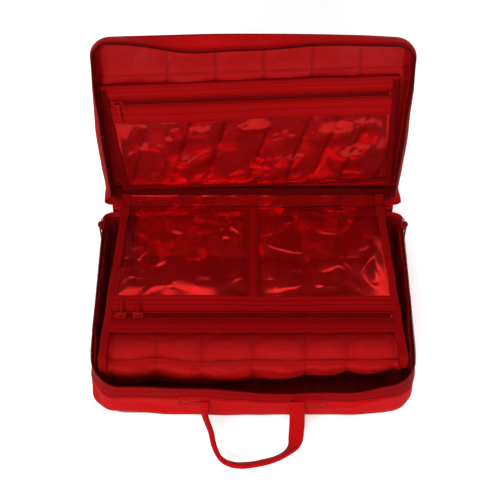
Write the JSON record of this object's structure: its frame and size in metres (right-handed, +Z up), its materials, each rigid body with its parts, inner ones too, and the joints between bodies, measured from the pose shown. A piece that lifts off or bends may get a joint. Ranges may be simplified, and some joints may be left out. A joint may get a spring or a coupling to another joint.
{
  "type": "soft organiser case",
  "caption": "Soft-sided clamshell organiser case with a zipped rim, a quilted inner flap with clear pockets, a lid pocket with a clear window and a webbing carry handle.",
  "frame": {"origin": "middle of the underside of the base, on the surface that the case stands on", "axes": "+X to the right, +Y to the back where the lid is hinged, +Z up; the handle is at -Y"},
  "size_m": [0.4432, 0.4209, 0.3762],
  "materials": {
    "outer_cloth": "satin coated red cloth",
    "quilted_cloth": "quilted satin red cloth over wadding",
    "binding_cloth": "satin red binding cloth",
    "plain_lining": "thin red lining cloth",
    "wall_foam": "soft foam sheet",
    "stiff_board": "stiff black board",
    "clear_vinyl": "clear glossy vinyl",
    "zip_tape": "woven red zip tape",
    "zip_coil": "red nylon coil",
    "zip_metal": "red enamelled zip metal",
    "webbing": "woven red webbing"
  },
  "bodies": {
    "base": {"base_panel": "outer_cloth", "base_wall": "outer_cloth", "base_wall_foam": "wall_foam", "base_wall_lining": "plain_lining", "base_board": "stiff_board", "base_lining": "quilted_cloth", "base_zip_tape": "zip_tape", "base_zip_coil": "zip_coil", "base_zip_stops": "zip_coil", "zip_end_tabs": "outer_cloth", "spine_cloth": "outer_cloth", "flap_anchor_tape": "binding_cloth", "handle_patch_left": "webbing", "handle_patch_right": "webbing"},
    "lid": {"lid_panel": "outer_cloth", "lid_wall": "outer_cloth", "lid_wall_lining": "plain_lining", "lid_board": "stiff_board", "lid_lining": "quilted_cloth", "lid_zip_tape": "zip_tape", "lid_zip_coil": "zip_coil", "lid_zip_stops": "zip_coil", "lid_pocket_back": "binding_cloth", "lid_pocket_hem": "binding_cloth", "lid_pocket_foot": "binding_cloth", "lid_pocket_binding_left": "binding_cloth", "lid_pocket_binding_right": "binding_cloth", "lid_pocket_band_upper": "binding_cloth", "lid_pocket_band_lower": "binding_cloth", "lid_pocket_window": "clear_vinyl", "lid_pocket_zip_tape": "zip_tape", "lid_pocket_zip_coil": "zip_coil", "lid_pocket_zip_stops": "zip_coil"},
    "flap": {"flap_pad": "quilted_cloth", "flap_front_roll": "quilted_cloth", "flap_rear_binding": "binding_cloth", "flap_binding_left": "binding_cloth", "flap_binding_right": "binding_cloth", "flap_rear_hem": "binding_cloth", "flap_window_left": "clear_vinyl", "flap_window_right": "clear_vinyl", "flap_centre_strip": "binding_cloth", "flap_band_rear": "binding_cloth", "flap_band_front": "binding_cloth", "flap_zip_tape": "zip_tape", "flap_zip_coil": "zip_coil", "flap_zip_stops": "zip_coil"},
    "handle": {"handle_strap": "webbing"},
    "lid_pocket_slider": {"lid_pocket_slider": "zip_metal"},
    "lid_pocket_pull": {"lid_pocket_pull": "zip_metal"},
    "flap_slider_left": {"flap_slider_left": "zip_metal"},
    "flap_slider_right": {"flap_slider_right": "zip_metal"},
    "flap_pull_left": {"flap_pull_left": "zip_metal"},
    "flap_pull_right": {"flap_pull_right": "zip_metal"},
    "main_slider_left": {"main_slider_left": "zip_metal"},
    "main_slider_right": {"main_slider_right": "zip_metal"},
    "main_pull_left": {"main_pull_left": "zip_metal"},
    "main_pull_right": {"main_pull_right": "zip_metal"}
  },
  "joints": [
    {"name": "lid_hinge", "type": "hinge", "parent": "base", "child": "lid", "pos_m": [0, 0.1508, 0.075], "axis": [-1, 0, 0], "range_deg": [-90, 90], "deforming": ["spine_cloth"]},
    {"name": "flap_hinge", "type": "hinge", "parent": "base", "child": "flap", "pos_m": [0, 0.1418, 0.07], "axis": [-1, 0, 0], "range_deg": [0, 85]},
    {"name": "handle_hinge", "type": "hinge", "parent": "base", "child": "handle", "pos_m": [0, -0.1545, 0.05], "axis": [-1, 0, 0], "range_deg": [0, 110]},
    {"name": "main_slide_left", "type": "slide", "parent": "base", "child": "main_slider_left", "axis": [0, -1, 0], "range_m": [0, 0.212]},
    {"name": "main_slide_right", "type": "slide", "parent": "base", "child": "main_slider_right", "axis": [0, -1, 0], "range_m": [0, 0.212]},
    {"name": "main_pull_swing_left", "type": "hinge", "parent": "main_slider_left", "child": "main_pull_left", "pos_m": [-0.2194, 0.118, 0.075], "axis": [0, 1, 0], "range_deg": [0, 165]},
    {"name": "main_pull_swing_right", "type": "hinge", "parent": "main_slider_right", "child": "main_pull_right", "pos_m": [0.2194, 0.118, 0.075], "axis": [0, -1, 0], "range_deg": [0, 165]},
    {"name": "lid_pocket_slide", "type": "slide", "parent": "lid", "child": "lid_pocket_slider", "axis": [0.9987, 0, 0.0515], "range_m": [0, 0.35]},
    {"name": "lid_pocket_pull_swing", "type": "hinge", "parent": "lid_pocket_slider", "child": "lid_pocket_pull", "pos_m": [-0.17887, 0.1698, 0.26547], "axis": [-0.9987, 0, -0.0515], "range_deg": [0, 165]},
    {"name": "flap_slide_left", "type": "slide", "parent": "flap", "child": "flap_slider_left", "axis": [1, 0, 0], "range_m": [0, 0.165]},
    {"name": "flap_slide_right", "type": "slide", "parent": "flap_slider_left", "child": "flap_slider_right", "axis": [1, 0, 0], "range_m": [0, 0.165]},
    {"name": "flap_pull_swing_left", "type": "hinge", "parent": "flap_slider_left", "child": "flap_pull_left", "pos_m": [-0.17756, -0.0388, 0.0832], "axis": [1, 0, 0], "range_deg": [0, 180]},
    {"name": "flap_pull_swing_right", "type": "hinge", "parent": "flap_slider_right", "child": "flap_pull_right", "pos_m": [-0.15456, -0.0388, 0.0832], "axis": [1, 0, 0], "range_deg": [0, 180]}
  ]
}
